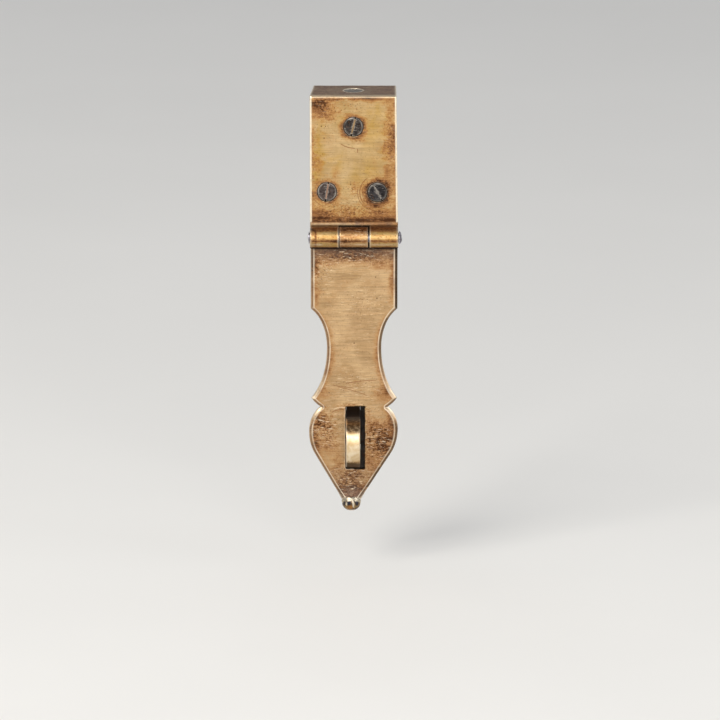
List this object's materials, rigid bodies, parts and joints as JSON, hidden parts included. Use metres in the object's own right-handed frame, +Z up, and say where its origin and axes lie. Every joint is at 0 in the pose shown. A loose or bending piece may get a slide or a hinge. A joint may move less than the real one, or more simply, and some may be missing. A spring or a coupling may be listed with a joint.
{
  "type": "hasp and staple",
  "caption": "Aged brass hasp and staple for a wooden chest: folded lid plate, slotted heart-shaped hasp swinging on a pinned hinge, and a flat-strip staple clenched through the board.",
  "frame": {"origin": "point on the lid plate's flat back face, on its centre line, 33.6 mm above the hinge pin's axis", "axes": "+Y out of the lid plate's back face, into the wood; +Z up the plate; the person stands on the -Y side, with +X to their right"},
  "size_m": [0.046, 0.0459, 0.2086],
  "materials": {
    "lid_brass": "aged, hand rubbed, brown in the corners",
    "strap_brass": "aged, fine cross brushing, bright chamfers",
    "knob_brass": "polished, dark at the collar",
    "staple_brass": "worn bright on its front",
    "clench_iron": "raw black iron, dull",
    "screw_steel": "darkened steel with worn rims",
    "pin_steel": "peened ends, dull grey"
  },
  "bodies": {
    "fixed": {"lid_plate": "lid_brass", "hinge_pin": "pin_steel", "lid_screw_top": "screw_steel", "lid_screw_left": "screw_steel", "lid_screw_right": "screw_steel", "flange_screw": "screw_steel", "staple": "staple_brass", "clench_plate": "clench_iron"},
    "hasp": {"hasp_strap": "strap_brass", "tip_knob": "knob_brass"}
  },
  "joints": [
    {"name": "hasp_swing", "type": "hinge", "parent": "fixed", "child": "hasp", "pos_m": [0, -0.0053, -0.0336], "axis": [-1, 0, 0], "range_deg": [0, 183]}
  ]
}
